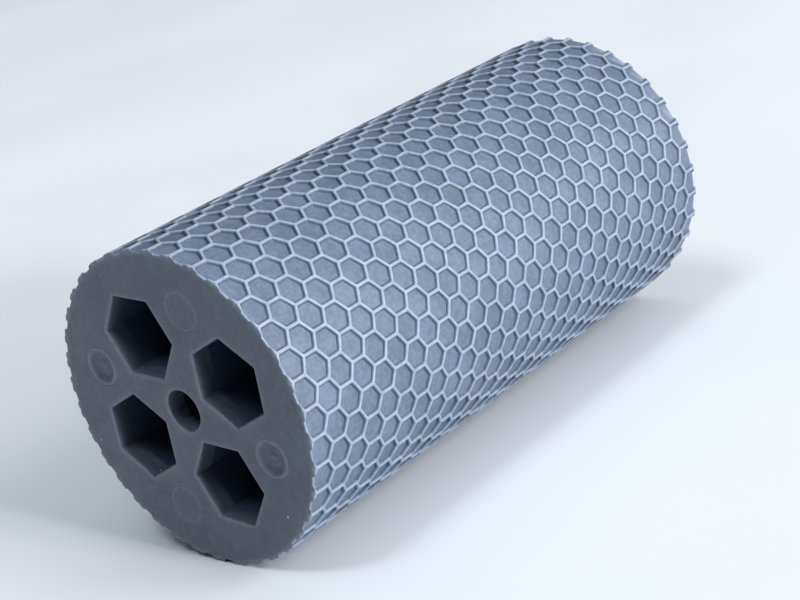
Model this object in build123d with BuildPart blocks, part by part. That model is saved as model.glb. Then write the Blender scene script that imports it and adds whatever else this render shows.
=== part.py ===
from build123d import *
import math
import os

os.makedirs("parts", exist_ok=True)

# Honeycomb roller barrel. Millimetres and degrees.
# The barrel's axis is +Y, its front face looks along -Y, and it lies along the ground with +Z up.
# The origin is on the axis, half way between the two faces.

# ---- driving dimensions ----
barrel_radius = 31.0          # over the tops of the honeycomb ribs
barrel_length = 126.4
rest_turn = -19.8             # how far the barrel is rolled about its axis as it lies

cells_round = 36              # honeycomb cells in one row round the barrel
row_pitch = 4.55              # from one row of cells to the next, along the axis
first_row_inset = 2.05        # from the front face to the centres of the first row
rib_width = 0.8
rib_height = 0.6

sleeve_inner_radius = 27.6
end_disc_thickness = 4.0

channel_count = 4
channel_circle_radius = 15.3  # axis to the centre of each hexagonal channel
channel_corner_radius = 8.62  # centre of a channel to its corners

pin_circle_radius = 21.0
pin_radius = 3.9
dowel_length = 14.0
dimple_radius = 3.1
dimple_depth = 0.9
dimple_wall_taper = 38.0      # slope of the dimple's wall, from the rod's axis
centre_mark_radius = 0.75
centre_mark_height = 0.35

bore_radius = 4.0             # takes an 8 mm shaft, through both end discs and the axle tube
axle_tube_radius = 4.8
running_clearance = 0.05      # radial, axle tube in its bushes
bush_radius = 5.8
bush_length = 14.0
core_relief = 0.35            # radial, axle tube to core between the bushes
end_play = 0.2                # axle tube to each end disc

edge_round = 0.3              # on the edges of the end faces' openings

# ---- derived sizes ----
half_length = barrel_length / 2
core_length = barrel_length - 2 * end_disc_thickness
axle_tube_length = core_length - 2 * end_play
cell_step = 360 / cells_round
cell_pitch = math.radians(cell_step) * barrel_radius
row_count = math.floor((barrel_length - first_row_inset) / row_pitch) + 1
channel_start = rest_turn + 180 / channel_count


def across(y):
    """The plane square to the axis at y, looking out of the front: its x is +X and its y is +Z."""
    return Plane.XZ.offset(-y)


def cut_channels():
    """Cut the four hexagonal channels, each with a corner pointing at the axis."""
    with PolarLocations(channel_circle_radius, channel_count, start_angle=channel_start):
        RegularPolygon(channel_corner_radius, 6, mode=Mode.SUBTRACT)


def pin_place(turn):
    """Where a pin stands on its circle, turn degrees round from the barrel's own zero."""
    return PolarLocations(pin_circle_radius, 1, start_angle=rest_turn + turn)


def write(builder, name):
    builder.part.label = name
    export_step(builder.part, f"parts/{name}.step")


# ---- core: carries the sleeve, with the channels right through it ----
with BuildPart() as barrel_core:
    with BuildSketch(across(core_length / 2)):
        Circle(sleeve_inner_radius)
        cut_channels()
        Circle(axle_tube_radius + core_relief, mode=Mode.SUBTRACT)
        with PolarLocations(pin_circle_radius, 2, start_angle=rest_turn):
            Circle(pin_radius, mode=Mode.SUBTRACT)
    extrude(amount=core_length)
    for y, inward in ((core_length / 2, 1), (-core_length / 2, -1)):
        with BuildSketch(across(y)):
            Circle(bush_radius)
        extrude(amount=inward * bush_length, mode=Mode.SUBTRACT)
        with BuildSketch(across(y)):
            with PolarLocations(pin_circle_radius, 2, start_angle=rest_turn + 90):
                Circle(pin_radius)
        extrude(amount=inward * (dowel_length - end_disc_thickness), mode=Mode.SUBTRACT)
write(barrel_core, "barrel_core")


# ---- honeycomb sleeve: the tyre, with a cell sunk between the ribs at every lattice point ----
def cell_corners():
    """A cell's six corners inside its ribs: two sides run along the axis, two corners point along it."""
    shrink = (cell_pitch - rib_width) / cell_pitch
    half_width = shrink * cell_pitch / 2
    half_side = shrink * row_pitch / 3
    half_span = 2 * half_side
    return [
        (half_width, half_side),
        (0, half_span),
        (-half_width, half_side),
        (-half_width, -half_side),
        (0, -half_span),
        (half_width, -half_side),
    ]


def cell_place(row, cell):
    """Turn and slide a cutter made at +X to its place; every other row sits half a cell round."""
    turn = rest_turn + (cell + (row % 2) / 2) * cell_step
    return Pos(0, first_row_inset + row * row_pitch - half_length, 0) * Rot(0, -turn, 0)


with BuildPart() as cell_cutter:
    with BuildSketch(Plane(origin=(barrel_radius - rib_height, 0, 0), x_dir=(0, 0, 1), z_dir=(1, 0, 0))):
        with BuildLine():
            Polyline(*cell_corners(), close=True)
        make_face()
    extrude(amount=2 * rib_height)

cell_cutters = [
    cell_place(row, cell) * cell_cutter.part for row in range(row_count) for cell in range(cells_round)
]

with BuildPart() as honeycomb_sleeve:
    with BuildSketch(across(half_length)):
        Circle(barrel_radius)
        Circle(sleeve_inner_radius, mode=Mode.SUBTRACT)
    extrude(amount=barrel_length)
    add(cell_cutters, mode=Mode.SUBTRACT, clean=False)
write(honeycomb_sleeve, "honeycomb_sleeve")


# ---- end discs: close the core, flush with the sleeve's ends ----
def make_end_disc(outer_y, inward):
    """An end disc whose outer face is at y = outer_y; inward is +1 or -1 along the plane's own normal."""
    with BuildPart() as disc:
        with BuildSketch(across(outer_y)):
            Circle(sleeve_inner_radius)
            cut_channels()
            Circle(bore_radius, mode=Mode.SUBTRACT)
        extrude(amount=inward * end_disc_thickness)
        outer_face = disc.faces().filter_by(Axis.Y).sort_by(Axis.Y)[0 if outer_y < 0 else -1]
        fillet([edge for wire in outer_face.inner_wires() for edge in wire.edges()], edge_round)
        with BuildSketch(across(outer_y)):
            with PolarLocations(pin_circle_radius, 4, start_angle=rest_turn):
                Circle(pin_radius)
        extrude(amount=inward * end_disc_thickness, mode=Mode.SUBTRACT)
    return disc


front_end_disc = make_end_disc(-half_length, -1)
write(front_end_disc, "front_end_disc")

rear_end_disc = make_end_disc(half_length, 1)
write(rear_end_disc, "rear_end_disc")


# ---- tie rods: right through the barrel, their ends dimpled ----
def make_tie_rod(turn):
    with BuildPart() as rod:
        with BuildSketch(across(half_length)):
            with pin_place(turn):
                Circle(pin_radius)
        extrude(amount=barrel_length)
        for outer_y, inward in ((half_length, 1), (-half_length, -1)):
            with BuildSketch(across(outer_y)):
                with pin_place(turn):
                    Circle(dimple_radius)
            extrude(amount=inward * dimple_depth, taper=dimple_wall_taper, mode=Mode.SUBTRACT)
            with BuildSketch(across(outer_y - inward * dimple_depth)):
                with pin_place(turn):
                    Circle(centre_mark_radius)
            extrude(amount=-inward * centre_mark_height)
    return rod


tie_rod_right = make_tie_rod(0)
write(tie_rod_right, "tie_rod_right")

tie_rod_left = make_tie_rod(180)
write(tie_rod_left, "tie_rod_left")


# ---- dowels: short plain pins that locate each end disc on the core ----
def make_dowel(outer_y, inward, turn):
    with BuildPart() as dowel:
        with BuildSketch(across(outer_y)):
            with pin_place(turn):
                Circle(pin_radius)
        extrude(amount=inward * dowel_length)
    return dowel


for end, outer_y, inward in (("front", -half_length, -1), ("rear", half_length, 1)):
    for place, turn in (("upper", 90), ("lower", 270)):
        write(make_dowel(outer_y, inward, turn), f"{end}_dowel_{place}")


# ---- bushes and the axle tube that the barrel turns on ----
for end, outer_y, inward in (("front", -core_length / 2, -1), ("rear", core_length / 2, 1)):
    with BuildPart() as bush:
        with BuildSketch(across(outer_y)):
            Circle(bush_radius)
            Circle(axle_tube_radius + running_clearance, mode=Mode.SUBTRACT)
        extrude(amount=inward * bush_length)
    write(bush, f"{end}_bush")

with BuildPart() as axle_tube:
    with BuildSketch(across(axle_tube_length / 2)):
        Circle(axle_tube_radius)
        Circle(bore_radius, mode=Mode.SUBTRACT)
    extrude(amount=axle_tube_length)
write(axle_tube, "axle_tube")
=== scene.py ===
import math

import bmesh
import bpy
from mathutils import Matrix, Vector, geometry, noise


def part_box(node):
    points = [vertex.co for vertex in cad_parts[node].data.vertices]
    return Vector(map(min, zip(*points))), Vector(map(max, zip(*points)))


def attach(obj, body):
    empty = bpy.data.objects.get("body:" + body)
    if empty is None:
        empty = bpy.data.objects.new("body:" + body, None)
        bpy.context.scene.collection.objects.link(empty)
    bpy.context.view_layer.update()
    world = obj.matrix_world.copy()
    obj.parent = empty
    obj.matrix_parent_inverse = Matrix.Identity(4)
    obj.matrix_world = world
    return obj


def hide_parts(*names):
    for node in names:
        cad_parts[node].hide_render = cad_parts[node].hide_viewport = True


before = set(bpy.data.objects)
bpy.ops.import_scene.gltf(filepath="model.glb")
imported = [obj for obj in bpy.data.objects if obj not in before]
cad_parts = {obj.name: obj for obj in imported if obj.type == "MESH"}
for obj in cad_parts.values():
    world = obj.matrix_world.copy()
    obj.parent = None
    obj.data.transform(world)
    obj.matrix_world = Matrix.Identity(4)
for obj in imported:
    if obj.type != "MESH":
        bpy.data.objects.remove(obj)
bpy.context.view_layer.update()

# A honeycomb roller barrel. Metres. The axis is +Y, the front face looks along -Y, +Z is up.
# Angles round the barrel run from +X towards +Z, as seen from the front.
# Paleness is 1 where the resin has its pale colour, 0 where it is plain, and below 0 where it is darker.
# The pale colour is partly wear and burrs and partly a painted highlight and glow, and the darker values
# are painted shade.
# Noise and speck scales are in lumps per metre.

MM = 0.001

# ---- sizes read from the frame ----
sleeve_low, sleeve_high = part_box("honeycomb_sleeve")
disc_low, disc_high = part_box("front_end_disc")
dowel_low, dowel_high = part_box("front_dowel_upper")
RIB_TOP = (sleeve_high.z - sleeve_low.z) / 2
HALF_LENGTH = sleeve_high.y
DISC_RADIUS = (disc_high.z - disc_low.z) / 2
DISC_THICKNESS = disc_high.y - disc_low.y
PIN_RADIUS = (dowel_high.x - dowel_low.x) / 2
DOWEL_LENGTH = dowel_high.y - dowel_low.y

# ---- the honeycomb ----
REST_TURN = math.radians(-19.8)         # how far the barrel is rolled about its axis as it lies
CELLS_ROUND = 36
ROW_PITCH = 4.543 * MM
FIRST_ROW_INSET = 2.05 * MM
RIB_HEIGHT = 0.6 * MM
CELL_STEP = math.tau / CELLS_ROUND
HALF_PITCH = RIB_TOP * CELL_STEP / 2
SIDE_STEPS = (0.0, 0.12, 0.5, 0.88)     # where each side of a cell is divided, from its corner
CORNER_CUT_FROM = 0.24 * MM             # corners are cut off past this distance from the ribs' middles
CORNER_CUT = 0.25                       # by this share of the distance past it
# The pale rib tops are partly wear and partly a painted highlight and glow; the negative paleness at a
# rib's foot is painted shade.
RIB_PROFILE = (                         # distance from a rib's middle line, share of its height, paleness
    (0.0, 1.0, 1.0),
    (0.13 * MM, 0.975, 1.0),
    (0.24 * MM, 0.89, 0.9),
    (0.32 * MM, 0.70, 0.6),
    (0.37 * MM, 0.40, 0.1),
    (0.43 * MM, 0.10, -0.4),
    (0.54 * MM, 0.0, -0.25),
    (0.74 * MM, 0.0, 0.0),
)

# ---- the sleeve's rim and end caps ----
RIM_ROUND = 0.24 * MM
RIM_CUTS = (1.0, 0.55, 0.25, 0.07, 0.0)  # where the rim is divided, as shares of its rounding
RIM_WANDER = 0.06 * MM                  # how far the rim strays in and out
RIM_WANDER_SCALE = 900
# The pale rim is partly burrs and flash, and partly a painted highlight and glow along the rounded edge.
RIM_PALENESS = 0.85
RIM_PALENESS_CHANGE = 0.6
RIM_PALENESS_SCALE = 500
# The lighter band on the caps next to the rim is a painted glow.
CAP_RINGS = (                           # distance in from the rib tops, paleness
    (1.05 * MM, 0.3),
    (1.5 * MM, 0.05),
)
CAP_SLOT = 1                            # the sleeve's second material, for its end caps

# ---- the openings of the end faces ----
CHANNEL_COUNT = 4
CHANNEL_CIRCLE = 15.3 * MM
CHANNEL_CORNER = 8.62 * MM
BORE_RADIUS = 4.0 * MM
PIN_COUNT = 4
PIN_CIRCLE = 21.0 * MM
EDGE_ROUND = 0.32 * MM                  # at the bore and the channels
SEAM_ROUND = 0.07 * MM                  # at the holes that the pins fill
HEX_CORNER_ROUND = 0.18 * MM
HEX_CORNER_SWINGS = (-30, -15, 0, 15, 30)
LIP_ANGLES = (0, 18, 36, 54, 72, 90)    # round a softened edge, from the face to the wall
# The pale lips and the glow round the openings and the pins' holes are painted highlights and painted
# glow on thin edges.
LIP_TURN = 50                           # the lip is pale up to this angle
LIP_PALENESS = 0.6
LIP_FOOT_PALENESS = 0.1
SEAM_PALENESS = 0.3
LIP_FADE = 0.3 * MM
EDGE_PAINTED_GLOW = (                           # distance outwards from an opening's edge, paleness
    (0.0, 0.6),
    (0.25 * MM, 0.32),
    (0.6 * MM, 0.1),
    (1.1 * MM, 0.0),
)
SEAM_PAINTED_GLOW = (
    (0.0, 0.35),
    (0.3 * MM, 0.0),
)

# ---- the pins' ends: radius and depth below the face in millimetres, and paleness ----
PLAIN_END = (
    (3.90, 0.07, 0.2),
    (3.86, 0.02, 0.5),
    (3.78, -0.03, 0.6),
    (3.62, -0.04, 0.55),
    (3.42, -0.02, 0.3),
    (3.20, 0.02, 0.05),
    (2.60, 0.03, 0.0),
    (1.30, 0.03, 0.0),
)
DIMPLED_END = (
    (3.90, 0.07, 0.2),
    (3.86, 0.01, 0.5),
    (3.76, -0.05, 0.7),
    (3.55, -0.07, 0.65),
    (3.32, -0.05, 0.5),
    (3.10, 0.05, 0.3),
    (2.85, 0.24, 0.1),
    (2.50, 0.50, 0.0),
    (2.05, 0.68, 0.0),
    (1.55, 0.74, 0.0),
    (1.05, 0.72, 0.0),
    (0.85, 0.64, 0.15),
    (0.65, 0.52, 0.2),
    (0.35, 0.48, 0.2),
)
PIN_UNEVEN = 0.02
PIN_UNEVEN_SCALE = 700

# ---- fineness of the meshes ----
DISC_SIDES = 144
BORE_SIDES = 96
PIN_SIDES = 64
MICRON = 1e-6
SAME_POINT = 1e-7                       # points nearer than this are one point


def barrel_point(turn, y, radius):
    return Vector((radius * math.cos(turn), y, radius * math.sin(turn)))


def new_piece(name, mesh, body, slot, *nodes):
    piece = bpy.data.objects.new(name, mesh)
    bpy.context.scene.collection.objects.link(piece)
    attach(piece, body)
    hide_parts(*nodes)
    return piece


def finish_mesh(bm, name, sharp_from):
    """Turn a bmesh into a smooth-shaded mesh whose edges stay sharp from an angle in degrees."""
    mesh = bpy.data.meshes.new(name)
    bmesh.ops.recalc_face_normals(bm, faces=bm.faces)
    bm.to_mesh(mesh)
    bm.free()
    for face in mesh.polygons:
        face.use_smooth = True
    mesh.set_sharp_from_angle(angle=math.radians(sharp_from))
    return mesh


def pale_layer(bm):
    """The paleness at each point, which the resin's material reads."""
    return bm.verts.layers.float.new("pale")


def add_bands(bm, loops):
    """Join each loop of points to the next by a band of faces."""
    made = []
    for outer, inner in zip(loops, loops[1:]):
        for a in range(len(outer)):
            b = (a + 1) % len(outer)
            made.append(bm.faces.new((outer[a], outer[b], inner[b], inner[a])))
    return made


# ---- honeycomb sleeve ----
def cell_ring(distance):
    """A cell's outline at a distance in from its ribs' middle lines, as pairs of arc and length."""
    shrink = 1 - distance / HALF_PITCH
    corners = [
        (1, 1 / 3), (0, 2 / 3), (-1, 1 / 3),
        (-1, -1 / 3), (0, -2 / 3), (1, -1 / 3),
    ]
    corners = [(x * HALF_PITCH * shrink, y * ROW_PITCH * shrink) for x, y in corners]
    corner_cut = CORNER_CUT * max(0.0, distance - CORNER_CUT_FROM)
    ring = []
    for here, there in zip(corners, corners[1:] + corners[:1]):
        for step in SIDE_STEPS:
            x = here[0] + (there[0] - here[0]) * step
            y = here[1] + (there[1] - here[1]) * step
            if step == 0.0:
                size = math.hypot(x, y)
                x, y = x * (1 - corner_cut / size), y * (1 - corner_cut / size)
            ring.append((x, y))
    return ring


def sleeve_shell():
    """The outer surface, run past both ends of the barrel: every cell's rings, joined along the ribs."""
    bm = bmesh.new()
    pale = pale_layer(bm)
    rings = [(cell_ring(distance), share, tint) for distance, share, tint in RIB_PROFILE]
    rib_middles = {}
    last_row = round(2 * HALF_LENGTH / ROW_PITCH) + 1
    floor_radius = RIB_TOP - RIB_HEIGHT
    for row in range(-1, last_row + 1):
        along = FIRST_ROW_INSET + row * ROW_PITCH - HALF_LENGTH
        for cell in range(CELLS_ROUND):
            turn = REST_TURN + (cell + (row % 2) / 2) * CELL_STEP
            loops = []
            for index, (ring, share, tint) in enumerate(rings):
                loop = []
                for arc, length in ring:
                    swing = arc / RIB_TOP
                    flat = floor_radius / math.cos(swing)
                    radius = flat + (RIB_TOP - flat) * share
                    point = barrel_point(turn + swing, along + length, radius)
                    key = tuple(round(value / MICRON) for value in point) if index == 0 else None
                    vert = rib_middles.get(key)
                    if vert is None:
                        vert = bm.verts.new(point)
                        vert[pale] = tint
                        if key:
                            rib_middles[key] = vert
                    loop.append(vert)
                loops.append(loop)
            add_bands(bm, loops)
            bm.faces.new(loops[-1])
    bmesh.ops.remove_doubles(bm, verts=list(rib_middles.values()), dist=2 * MICRON)
    return bm


def trim_ends(bm):
    """Cut the shell square at both ends and round its rim over, a little unevenly."""
    for end in (-1, 1):
        for inset in RIM_CUTS:
            bmesh.ops.bisect_plane(
                bm,
                geom=bm.verts[:] + bm.edges[:] + bm.faces[:],
                dist=SAME_POINT,
                plane_co=(0, end * (HALF_LENGTH - inset * RIM_ROUND), 0),
                plane_no=(0, end, 0),
                clear_outer=inset == 0.0,
            )
    pale = bm.verts.layers.float["pale"]
    for vert in bm.verts:
        reach = (abs(vert.co.y) - (HALF_LENGTH - RIM_ROUND)) / RIM_ROUND
        if reach > 0:
            drop = RIM_ROUND * (1 - math.sqrt(max(0.0, 1 - min(reach, 1.0) ** 2)))
            wander = noise.noise(vert.co * RIM_WANDER_SCALE) * RIM_WANDER * reach
            radius = math.hypot(vert.co.x, vert.co.z)
            scale = (radius - drop + wander) / radius
            vert.co.x *= scale
            vert.co.z *= scale
            # The rim is painted pale: burrs mixed with a painted highlight and glow on the rounded edge.
            change = RIM_PALENESS_CHANGE * noise.noise(vert.co * RIM_PALENESS_SCALE)
            vert[pale] = max(vert[pale], RIM_PALENESS + change)


def cap_end(bm, end):
    """Cap one end of the sleeve from its rim to its bore, and give the bore's loop."""
    pale = bm.verts.layers.float["pale"]
    rim = {v for e in bm.edges if e.is_boundary for v in e.verts if v.co.y * end > 0}
    rim = sorted(rim, key=lambda v: math.atan2(v.co.z, v.co.x))
    loops = [rim]
    cap_radii = [(RIB_TOP - inset, tint) for inset, tint in CAP_RINGS]
    for radius, tint in cap_radii + [(DISC_RADIUS, 0.0)]:
        loop = []
        for vert in rim:
            turn = math.atan2(vert.co.z, vert.co.x)
            point = bm.verts.new(barrel_point(turn, end * HALF_LENGTH, radius))
            point[pale] = tint
            loop.append(point)
        loops.append(loop)
    for face in add_bands(bm, loops):
        face.material_index = CAP_SLOT
    return loops[-1]


def line_bore(bm, front, rear):
    """Join the loops at the two ends of the sleeve's bore, which may differ in their number of points."""
    a = b = 0
    while a < len(front) or b < len(rear):
        here, there = front[a % len(front)], rear[b % len(rear)]
        front_next, rear_next = front[(a + 1) % len(front)], rear[(b + 1) % len(rear)]
        front_is_behind = a < len(front) and (a + 1) / len(front) <= (b + 1) / len(rear)
        if b >= len(rear) or front_is_behind:
            bm.faces.new((here, front_next, there))
            a += 1
        else:
            bm.faces.new((here, rear_next, there))
            b += 1


def make_sleeve():
    bm = sleeve_shell()
    trim_ends(bm)
    front, rear = [cap_end(bm, end) for end in (-1, 1)]
    line_bore(bm, front, rear)
    mesh = finish_mesh(bm, "honeycomb_sleeve_skin", 50)
    return new_piece(
        "honeycomb_sleeve_skin", mesh, "barrel", "honeycomb_sleeve", "honeycomb_sleeve"
    )


# ---- end discs ----
def circle_loop(centre, radius, count):
    steps = [math.tau * step / count for step in range(count)]
    return [centre + Vector((radius * math.cos(t), radius * math.sin(t))) for t in steps]


def hexagon_loop(turn, outwards):
    """A channel's outline moved outwards, its corners rounded, as points in the face's plane."""
    centre = Vector((CHANNEL_CIRCLE * math.cos(turn), CHANNEL_CIRCLE * math.sin(turn)))
    corner_round = HEX_CORNER_ROUND + outwards
    apothem = CHANNEL_CORNER * math.cos(math.pi / 6) + outwards
    reach = (apothem - corner_round) / math.cos(math.pi / 6)
    loop = []
    for corner in range(6):
        facing = turn + corner * math.tau / 6
        for swing in HEX_CORNER_SWINGS:
            t = facing + math.radians(swing)
            loop.append(
                centre
                + reach * Vector((math.cos(facing), math.sin(facing)))
                + corner_round * Vector((math.cos(t), math.sin(t)))
            )
    return loop


def opening_outlines():
    """Every opening of a disc: its outline, as a function of a distance outwards, and its rounding."""
    outlines = [(lambda out: circle_loop(Vector((0, 0)), BORE_RADIUS + out, BORE_SIDES), EDGE_ROUND)]
    for index in range(CHANNEL_COUNT):
        turn = REST_TURN + math.tau * (index + 0.5) / CHANNEL_COUNT
        outlines.append((lambda out, turn=turn: hexagon_loop(turn, out), EDGE_ROUND))
    for index in range(PIN_COUNT):
        turn = REST_TURN + math.tau * index / PIN_COUNT
        centre = Vector((PIN_CIRCLE * math.cos(turn), PIN_CIRCLE * math.sin(turn)))
        outlines.append((lambda out, c=centre: circle_loop(c, PIN_RADIUS + out, PIN_SIDES), SEAM_ROUND))
    return outlines


def inside(point, loop):
    """Whether a point is inside a convex loop that runs anticlockwise."""
    return all(
        (there - here).cross(point - here) > 0
        for here, there in zip(loop, loop[1:] + loop[:1])
    )


def fill_face(bm, pale, place, depth, rim, rings, holes):
    """Fill a rim apart from its holes; each ring, a loop and its paleness, is a line of the mesh."""
    points = list(rim)
    edges = [(a, (a + 1) % len(rim)) for a in range(len(rim))]
    tints = [0.0] * len(rim)
    for loop, tint in rings:
        start = len(points)
        points += loop
        tints += [tint] * len(loop)
        edges += [(start + a, start + (a + 1) % len(loop)) for a in range(len(loop))]
    flat, _, faces, origins, _, _ = geometry.delaunay_2d_cdt(points, edges, [], 0, SAME_POINT)
    verts = []
    for point, origin in zip(flat, origins):
        vert = bm.verts.new(place(point, depth))
        vert[pale] = tints[origin[0]] if origin else 0.0
        verts.append(vert)
    for face in faces:
        middle = sum((flat[i] for i in face), Vector((0, 0))) / len(face)
        if not any(inside(middle, hole) for hole in holes):
            bm.faces.new([verts[i] for i in face])
    for vert in [v for v in verts if not v.link_faces]:
        bm.verts.remove(vert)


def add_wall(bm, pale, place, rows):
    """Make a wall through rows, each a loop, its depth and its paleness."""
    loops = []
    for outline, depth, tint in rows:
        loop = []
        for point in outline:
            vert = bm.verts.new(place(point, depth))
            vert[pale] = tint
            loop.append(vert)
        loops.append(loop)
    add_bands(bm, loops)


def opening_rows(outline, rounding):
    """An opening's softened edge and its wall, down to the disc's inner face, with a painted highlight on
    the lip and painted shade deeper down.
    """
    rows = []
    for angle in LIP_ANGLES:
        out = rounding * (1 - math.sin(math.radians(angle)))
        depth = rounding * (1 - math.cos(math.radians(angle)))
        lip_tint = LIP_PALENESS if angle < LIP_TURN else LIP_FOOT_PALENESS
        rows.append((outline(out), depth, lip_tint if rounding == EDGE_ROUND else SEAM_PALENESS))
    rows.append((outline(0.0), rounding + LIP_FADE, 0.0))
    # Painted shade: further down, the wall is painted darker, where the opening lies in shade.
    rows.append((outline(0.0), 0.5 * DISC_THICKNESS, -0.2))
    rows.append((outline(0.0), DISC_THICKNESS, -0.5))
    return rows


def make_disc(end, name, node):
    """An end disc: its outer face with softened openings, its walls, and its inner face."""
    face_y = end * HALF_LENGTH

    def place(point, depth):
        return Vector((point.x, face_y - end * depth, point.y))

    bm = bmesh.new()
    pale = pale_layer(bm)
    rim = circle_loop(Vector((0, 0)), DISC_RADIUS, DISC_SIDES)
    outlines = opening_outlines()
    rings = []
    for outline, rounding in outlines:
        # A painted glow round each opening.
        glow = EDGE_PAINTED_GLOW if rounding == EDGE_ROUND else SEAM_PAINTED_GLOW
        rings += [(outline(rounding + distance), tint) for distance, tint in glow]
    outer_holes = [outline(rounding) for outline, rounding in outlines]
    fill_face(bm, pale, place, 0.0, rim, rings, outer_holes)
    for outline, rounding in outlines:
        add_wall(bm, pale, place, opening_rows(outline, rounding))
    add_wall(bm, pale, place, [(rim, 0.0, 0.0), (rim, DISC_THICKNESS, 0.0)])
    inner_holes = [outline(0.0) for outline, _ in outlines]
    inner_rings = [(hole, 0.0) for hole in inner_holes]
    fill_face(bm, pale, place, DISC_THICKNESS, rim, inner_rings, inner_holes)
    bmesh.ops.remove_doubles(bm, verts=bm.verts, dist=MICRON)
    mesh = finish_mesh(bm, name, 30)
    return new_piece(name, mesh, "barrel", "barrel_body", node)


# ---- pins: dowels with plain ends, tie rods with dimpled ends ----
def make_pin(name, node, turn, profile, end, length):
    """A pin turned from the profile of its two ends, the outer one at an end of the barrel."""
    centre = barrel_point(REST_TURN + turn, 0, PIN_CIRCLE)
    face_y = end * HALF_LENGTH
    bm = bmesh.new()
    pale = pale_layer(bm)
    rows = list(reversed(profile))
    rows += [(radius, length / MM - depth, tint) for radius, depth, tint in profile]
    loops = []
    for radius, depth, tint in rows:
        loop = []
        for side in range(PIN_SIDES):
            t = math.tau * side / PIN_SIDES
            spot = Vector((radius * MM * math.cos(t), 0, radius * MM * math.sin(t)))
            uneven = PIN_UNEVEN * noise.noise((centre + spot) * PIN_UNEVEN_SCALE)
            inwards = Vector((0, face_y - end * (depth + uneven) * MM, 0))
            vert = bm.verts.new(centre + spot + inwards)
            vert[pale] = tint
            loop.append(vert)
        loops.append(loop)
    add_bands(bm, loops)
    bm.faces.new(loops[0])
    bm.faces.new(loops[-1])
    return new_piece(name, finish_mesh(bm, name, 60), "barrel", "pins", node)


def make_pins():
    pins = []
    for side, turn in (("right", 0.0), ("left", math.pi)):
        node = f"tie_rod_{side}"
        pins.append(make_pin(f"{node}_turned", node, turn, DIMPLED_END, -1, 2 * HALF_LENGTH))
    for height, turn in (("upper", math.pi / 2), ("lower", -math.pi / 2)):
        for end_name, end in (("front", -1), ("rear", 1)):
            node = f"{end_name}_dowel_{height}"
            pins.append(make_pin(f"{node}_turned", node, turn, PLAIN_END, end, DOWEL_LENGTH))
    return pins


sleeve = make_sleeve()
discs = [
    make_disc(-1, "front_end_disc_moulded", "front_end_disc"),
    make_disc(1, "rear_end_disc_moulded", "rear_end_disc"),
]
pins = make_pins()


# ---- materials ----
MIX_COLOURS = (6, 7)                    # the mix node's two colour inputs
MIX_RESULT = 2                          # and its colour output


class Nodes:
    """The node tree of a material or a world, with short ways to add what is used below."""

    def __init__(self, owner, shader):
        self.owner = owner
        self.owner.use_nodes = True
        self.tree = owner.node_tree
        self.shader = self.tree.nodes[shader]

    def add(self, kind, **settings):
        node = self.tree.nodes.new(kind)
        for key, value in settings.items():
            setattr(node, key, value)
        return node

    def join(self, source, target):
        self.tree.links.new(source, target)

    def put(self, target, value):
        """Link a socket, or set a plain value."""
        if isinstance(value, bpy.types.NodeSocket):
            self.join(value, target)
        else:
            target.default_value = value

    def place(self):
        """Points of the piece in its own frame, which turns with the barrel."""
        return self.add("ShaderNodeTexCoord").outputs["Object"]

    def noise(self, scale, detail, rough, stretch=None):
        source = self.place()
        if stretch:
            mapping = self.add("ShaderNodeMapping")
            mapping.inputs["Scale"].default_value = stretch
            self.join(source, mapping.inputs["Vector"])
            source = mapping.outputs["Vector"]
        node = self.add("ShaderNodeTexNoise")
        node.inputs["Scale"].default_value = scale
        node.inputs["Detail"].default_value = detail
        node.inputs["Roughness"].default_value = rough
        self.join(source, node.inputs["Vector"])
        return node.outputs["Fac"]

    def math(self, operation, first, second):
        node = self.add("ShaderNodeMath", operation=operation)
        self.put(node.inputs[0], first)
        self.put(node.inputs[1], second)
        return node.outputs["Value"]

    def spread(self, value, low, high, to_low=0.0, to_high=1.0):
        """Map low..high to to_low..to_high, clamped, with a soft start and end."""
        node = self.add("ShaderNodeMapRange", interpolation_type="SMOOTHSTEP")
        self.put(node.inputs["Value"], value)
        node.inputs["From Min"].default_value = low
        node.inputs["From Max"].default_value = high
        node.inputs["To Min"].default_value = to_low
        node.inputs["To Max"].default_value = to_high
        return node.outputs["Result"]

    def mix(self, share, first, second):
        """Mix two colours, each a socket or three numbers."""
        node = self.add("ShaderNodeMix", data_type="RGBA")
        self.put(node.inputs["Factor"], share)
        for index, colour in zip(MIX_COLOURS, (first, second)):
            plain = not isinstance(colour, bpy.types.NodeSocket)
            self.put(node.inputs[index], (*colour, 1) if plain else colour)
        return node.outputs[MIX_RESULT]

    def specks(self, scale, size, chosen):
        """Small round specks, one in some of the cells of a scattered lattice."""
        node = self.add("ShaderNodeTexVoronoi")
        node.inputs["Scale"].default_value = scale
        self.join(self.place(), node.inputs["Vector"])
        channel = self.add("ShaderNodeSeparateColor")
        self.join(node.outputs["Color"], channel.inputs["Color"])
        near = self.spread(node.outputs["Distance"], size, size * SPECK_CORE)
        picked = self.math("GREATER_THAN", channel.outputs["Red"], 1 - chosen)
        return self.math("MULTIPLY", near, picked)

    def bump(self, height, distance, strength):
        node = self.add("ShaderNodeBump")
        node.inputs["Strength"].default_value = strength
        node.inputs["Distance"].default_value = distance
        self.join(height, node.inputs["Height"])
        self.join(node.outputs["Normal"], self.shader.inputs["Normal"])


def new_material(name):
    return Nodes(bpy.data.materials.new(name), "Principled BSDF")


# Painted shade: the darkest colour stands for the shade in the creases at the ribs' feet and deep in the
# openings.
RESIN_PAINTED_SHADE = (0.060, 0.078, 0.112)      # where a rib meets its cell's floor, and deep in the openings
RESIN_DEEP = (0.108, 0.135, 0.184)
RESIN_BODY = (0.158, 0.195, 0.263)
RESIN_PALE = (0.350, 0.405, 0.475)
RESIN_IOR = 1.53
DUST = (0.75, 0.80, 0.86)
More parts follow.
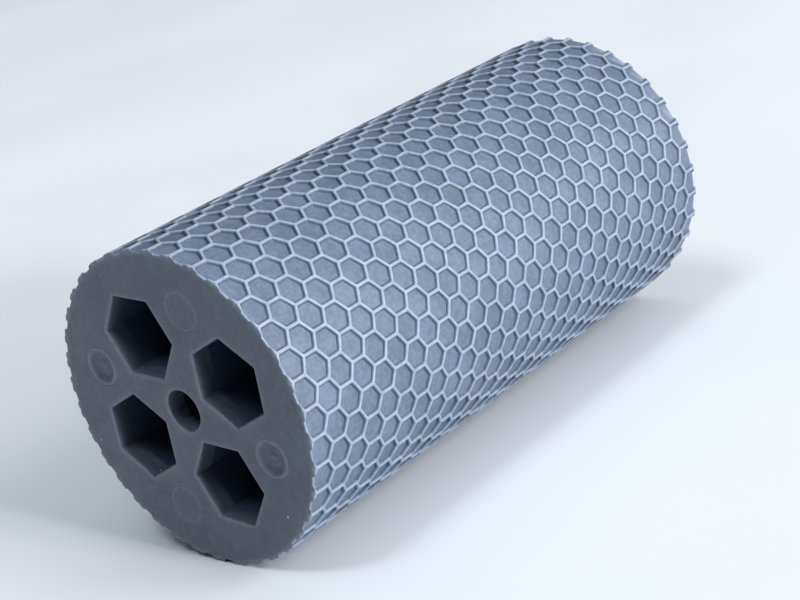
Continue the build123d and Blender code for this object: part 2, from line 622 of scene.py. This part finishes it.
# One resin in two tones, with the end faces warmer and lighter and the sleeve's sides bluer and darker,
# tuned to the light on each: painted light.
SIDE_PAINTED_LIGHT_TONE = (0.775, 0.795, 0.82)
END_PAINTED_LIGHT_TONE = (0.945, 0.865, 0.825)
# Painted shade: the channels' walls get a much darker tone for the shade deep inside them.
CHANNEL_PAINTED_SHADE_TONE = (0.37, 0.46, 0.58)
SLEEVE_STRENGTH = 0.82                  # how much of the pale colour shows where the paleness is 1
SMOOTH_STRENGTH = 0.5
SLEEVE_EVENNESS = 0.14                  # a larger value gives weaker mottling
SMOOTH_EVENNESS = 0.24
BROAD_MOTTLE_SCALE = 110
FINE_MOTTLE_SCALE = 1100
FINE_MOTTLE_SHARE = 0.55
WEAR_AND_HIGHLIGHT_SCALE = 800
SWELL_SCALE = 300
GRAIN_SCALE = 2600
GRAIN_SHARE = 0.35
SPECK_CORE = 0.55                       # the share of a speck's radius that is fully bright
DUST_SPECKS = (150, 0.035, 0.26)        # scale, size, share of the lattice's cells that have one
FINE_DUST_SPECKS = (420, 0.05, 0.05)
FINE_DUST_STRENGTH = 0.6
SPECK_HEIGHT = 0.8
RESIN_BUMP = 0.06 * MM
METAL_MARK_SCALE = 900
METAL_PATCH_SCALE = 260
METAL_BUMP = 0.02 * MM


def resin_colour(nodes, tone, pale_strength, evenness):
    """Mottled resin with painted shade at the ribs' feet and deep in the openings, and paler along ribs
    and thin edges, partly wear and partly painted highlight and glow.
    """
    painted_shade, deep, plain, pale_colour = [
        tuple(part * share for part, share in zip(colour, tone))
        for colour in (RESIN_PAINTED_SHADE, RESIN_DEEP, RESIN_BODY, RESIN_PALE)
    ]
    broad = nodes.math("MULTIPLY", nodes.noise(BROAD_MOTTLE_SCALE, 4.0, 0.6), 1 - FINE_MOTTLE_SHARE)
    fine = nodes.math("MULTIPLY", nodes.noise(FINE_MOTTLE_SCALE, 3.0, 0.6), FINE_MOTTLE_SHARE)
    mottle = nodes.spread(nodes.math("ADD", broad, fine), 0.5 - evenness, 0.5 + evenness)
    body = nodes.mix(mottle, deep, plain)
    pale = nodes.add("ShaderNodeAttribute", attribute_name="pale").outputs["Fac"]
    body = nodes.mix(nodes.spread(pale, 0.0, -0.5), body, painted_shade)
    # A random change in how pale the pale parts are, which covers both wear and painted highlight.
    wear_and_highlight = nodes.spread(nodes.noise(WEAR_AND_HIGHLIGHT_SCALE, 3.0, 0.6), 0.3, 0.7, 0.66, 1.06)
    share = nodes.math("MULTIPLY", nodes.math("MULTIPLY", pale, wear_and_highlight), pale_strength)
    return nodes.mix(share, body, pale_colour)


def resin(name, tone, pale_strength, evenness):
    """Matt blue-grey moulded resin with dust and a fine grain."""
    nodes = new_material(name)
    colour = resin_colour(nodes, tone, pale_strength, evenness)
    fine_dust = nodes.math("MULTIPLY", nodes.specks(*FINE_DUST_SPECKS), FINE_DUST_STRENGTH)
    speck = nodes.math("MAXIMUM", nodes.specks(*DUST_SPECKS), fine_dust)
    nodes.join(nodes.mix(speck, colour, DUST), nodes.shader.inputs["Base Color"])
    grain = nodes.noise(GRAIN_SCALE, 2.0, 0.5)
    swell = nodes.noise(SWELL_SCALE, 2.0, 0.5)
    nodes.join(nodes.spread(swell, 0.2, 0.8, 0.40, 0.54), nodes.shader.inputs["Roughness"])
    grain_part = nodes.math("MULTIPLY", grain, GRAIN_SHARE)
    swell_part = nodes.math("MULTIPLY", swell, 1 - GRAIN_SHARE)
    speck_part = nodes.math("MULTIPLY", speck, SPECK_HEIGHT)
    height = nodes.math("ADD", nodes.math("ADD", grain_part, swell_part), speck_part)
    nodes.bump(height, RESIN_BUMP, 0.55)
    nodes.shader.inputs["IOR"].default_value = RESIN_IOR
    return nodes.owner


def turned_metal(name, colour, dark, roughness, stretch):
    """Metal with fine marks along one way, and dull patches."""
    nodes = new_material(name)
    marks = nodes.noise(METAL_MARK_SCALE, 3.0, 0.6, stretch)
    patches = nodes.spread(nodes.noise(METAL_PATCH_SCALE, 3.0, 0.6), 0.3, 0.75)
    nodes.join(nodes.mix(patches, colour, dark), nodes.shader.inputs["Base Color"])
    dullness = nodes.spread(marks, 0.25, 0.75, roughness - 0.08, roughness + 0.12)
    nodes.join(dullness, nodes.shader.inputs["Roughness"])
    nodes.shader.inputs["Metallic"].default_value = 1.0
    nodes.bump(marks, METAL_BUMP, 0.5)
    return nodes.owner


def clothe(piece, *materials):
    # Clearing a list that is empty would reset the slot that each face uses.
    if piece.data.materials:
        piece.data.materials.clear()
    for material in materials:
        piece.data.materials.append(material)


side_resin_painted_light = resin("side_resin_painted_light", SIDE_PAINTED_LIGHT_TONE, SLEEVE_STRENGTH, SLEEVE_EVENNESS)
end_resin_painted_light = resin("end_resin_painted_light", END_PAINTED_LIGHT_TONE, SMOOTH_STRENGTH, SMOOTH_EVENNESS)
channel_resin_painted_shade = resin("channel_resin_painted_shade", CHANNEL_PAINTED_SHADE_TONE, SMOOTH_STRENGTH, SMOOTH_EVENNESS)
brass = turned_metal("bush_brass", (0.62, 0.46, 0.22), (0.42, 0.30, 0.15), 0.38, (1.0, 0.15, 1.0))
steel = turned_metal("axle_steel", (0.58, 0.58, 0.60), (0.36, 0.36, 0.38), 0.34, (1.0, 0.04, 1.0))
clothe(sleeve, side_resin_painted_light, end_resin_painted_light)
for piece in discs + pins:
    clothe(piece, end_resin_painted_light)
clothe(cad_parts["barrel_core"], channel_resin_painted_shade)
clothe(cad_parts["front_bush"], brass)
clothe(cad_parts["rear_bush"], brass)
clothe(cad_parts["axle_tube"], steel)


# ---- floor, lights and camera ----
FLOOR_HALF = 4.0
FLOOR_COLOURS = ((0.69, 0.71, 0.745), (0.71, 0.73, 0.765))
FLOOR_CLOUD_SCALE = 9
WHITE = (1.0, 1.0, 1.0)
LAMPS = (                               # name, place, width, power, colour
    ("left_window", (-6.0, 0.6, 6.3), 3.3, 8, WHITE),
    ("low_window", (6.0, 0.0, 1.35), 1.3, 330, WHITE),
    ("right_window", (5.4, 1.4, 3.2), 3.6, 225, WHITE),
    ("front_fill", (0.0, -2.3, 5.6), 1.6, 88, (0.86, 0.95, 1.0)),
)
# Each glow of the room: the way to its middle, the cosines where it starts and is full, its strength.
OVERHEAD_GLOW = (Vector((0.1, 0.15, 1.0)).normalized(), 0.45, 1.0, 0.83)
REAR_GLOW = (Vector((0.17, 0.985, 0.0)), 0.70, 0.94, 2.5)
LEFT_GLOW = (Vector((-0.85, 0.53, 0.0)), 0.6, 0.95, 0.45)
LOW_GLOW_TOP = 0.30                     # the sine of the height up to which the last two reach
LOW_GLOW_BLUR = 0.06
ROOM_LIGHT = 0.04
ROOM_COLOUR = (0.93, 0.97, 1.0, 1)
CAMERA_PLACE = (224.3, -169.46, 105.9)  # in millimetres from the middle of the front face
CAMERA_WAY = (-0.66105, 0.67646, -0.32469)
CAMERA_ROLL = -13.93
CAMERA_LENS = 75.5


def make_floor():
    mesh = bpy.data.meshes.new("floor")
    size, low = FLOOR_HALF, sleeve_low.z
    corners = [(-size, -size, low), (size, -size, low), (size, size, low), (-size, size, low)]
    mesh.from_pydata(corners, [], [(0, 1, 2, 3)])
    floor = bpy.data.objects.new("floor", mesh)
    bpy.context.scene.collection.objects.link(floor)
    nodes = new_material("table_top")
    cloud = nodes.spread(nodes.noise(FLOOR_CLOUD_SCALE, 3.0, 0.5), 0.3, 0.7)
    nodes.join(nodes.mix(cloud, *FLOOR_COLOURS), nodes.shader.inputs["Base Color"])
    nodes.join(nodes.spread(cloud, 0.0, 1.0, 0.42, 0.48), nodes.shader.inputs["Roughness"])
    clothe(floor, nodes.owner)


def make_lamp(name, place, width, power, colour):
    """A round soft lamp that looks at the barrel."""
    light = bpy.data.lights.new(name, "AREA")
    light.shape = "DISK"
    light.size = width
    light.energy = power
    light.color = colour
    lamp = bpy.data.objects.new(name, light)
    bpy.context.scene.collection.objects.link(lamp)
    lamp.location = place
    lamp.rotation_euler = (-Vector(place)).to_track_quat("-Z", "Y").to_euler()


def make_room():
    """A glow overhead, a bright one low behind the barrel, a weaker one at the left, and a dim room."""
    room = Nodes(bpy.data.worlds.new("room"), "Background")
    bpy.context.scene.world = room.owner
    direction = room.add("ShaderNodeTexCoord").outputs["Generated"]

    def glow(way, start, full, strength):
        """Light that grows as a direction turns towards a way."""
        node = room.add("ShaderNodeVectorMath", operation="DOT_PRODUCT")
        node.inputs[1].default_value = way
        room.join(direction, node.inputs[0])
        return room.spread(node.outputs["Value"], start, full, 0.0, strength)

    down = Vector((0, 0, -1))
    low_down = glow(down, -LOW_GLOW_TOP - LOW_GLOW_BLUR, -LOW_GLOW_TOP + LOW_GLOW_BLUR, 1.0)
    low_glows = room.math("MULTIPLY", room.math("ADD", glow(*REAR_GLOW), glow(*LEFT_GLOW)), low_down)
    glows = room.math("ADD", glow(*OVERHEAD_GLOW), low_glows)
    room.join(room.math("ADD", glows, ROOM_LIGHT), room.shader.inputs["Strength"])
    room.shader.inputs["Color"].default_value = ROOM_COLOUR


def make_camera():
    data = bpy.data.cameras.new("camera")
    data.sensor_width = 36
    data.lens = CAMERA_LENS
    data.clip_start = 0.01
    camera = bpy.data.objects.new("camera", data)
    bpy.context.scene.collection.objects.link(camera)
    place = Matrix.Translation(Vector(CAMERA_PLACE) * MM + Vector((0, -HALF_LENGTH, 0)))
    facing = Vector(CAMERA_WAY).to_track_quat("-Z", "Y").to_matrix().to_4x4()
    roll = Matrix.Rotation(math.radians(CAMERA_ROLL), 4, "Z")
    camera.matrix_world = place @ facing @ roll
    bpy.context.scene.camera = camera


make_floor()
for lamp in LAMPS:
    make_lamp(*lamp)
make_room()
make_camera()
bpy.context.scene.view_settings.view_transform = "Standard"
bpy.context.scene.view_settings.look = "Medium High Contrast"
